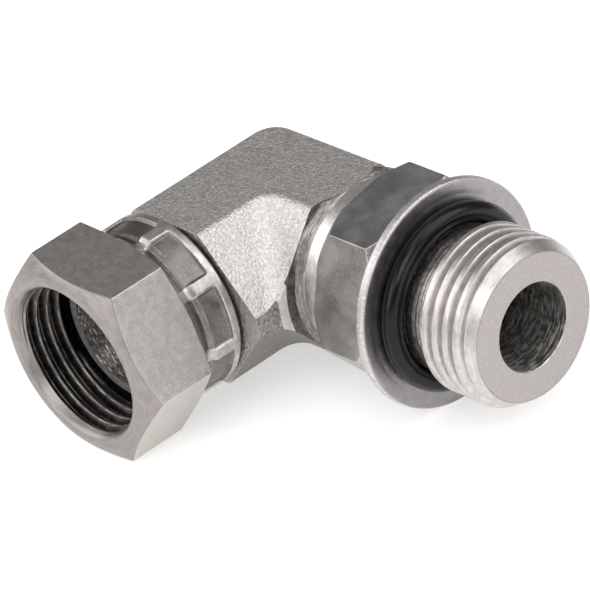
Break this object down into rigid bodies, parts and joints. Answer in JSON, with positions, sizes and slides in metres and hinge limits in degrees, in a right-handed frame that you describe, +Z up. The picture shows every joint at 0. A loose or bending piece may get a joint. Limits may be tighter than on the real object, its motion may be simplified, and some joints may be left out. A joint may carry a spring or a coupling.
{
  "type": "hydraulic elbow adapter",
  "caption": "Right-angle steel hydraulic fitting: forged body with a swivelling female hex nut and an adjustable threaded stud that carries a lock nut, washer and O-ring.",
  "frame": {"origin": "where the axes of the two legs cross, inside the forged corner", "axes": "+X along the threaded stud to its tip, -Y out of the swivel nut's mouth, +Z up, square to the plane of the two legs"},
  "size_m": [0.0519, 0.0448, 0.026],
  "materials": {
    "forged_steel": "satin",
    "nut_steel": "satin",
    "washer_steel": "satin",
    "seal_rubber": "satin"
  },
  "bodies": {
    "elbow": {"elbow_body": "forged_steel"},
    "swivel": {"swivel_nut": "nut_steel"},
    "seal": {"backup_washer": "washer_steel", "o_ring": "seal_rubber"},
    "lock": {"lock_nut": "nut_steel"}
  },
  "joints": [
    {"name": "nut_swivel", "type": "hinge", "parent": "elbow", "child": "swivel", "pos_m": [0, 0, 0], "axis": [0, -1, 0], "continuous": true},
    {"name": "seal_slide", "type": "slide", "parent": "elbow", "child": "seal", "axis": [1, 0, 0], "range_m": [0, 0.002]},
    {"name": "lock_turn", "type": "hinge", "parent": "seal", "child": "lock", "pos_m": [0, 0, 0], "axis": [1, 0, 0], "range_deg": [0, 450]}
  ],
  "couplings": [
    {"joint": "seal_slide", "follows": "lock_turn", "m_per_rad": 0.00025266}
  ]
}
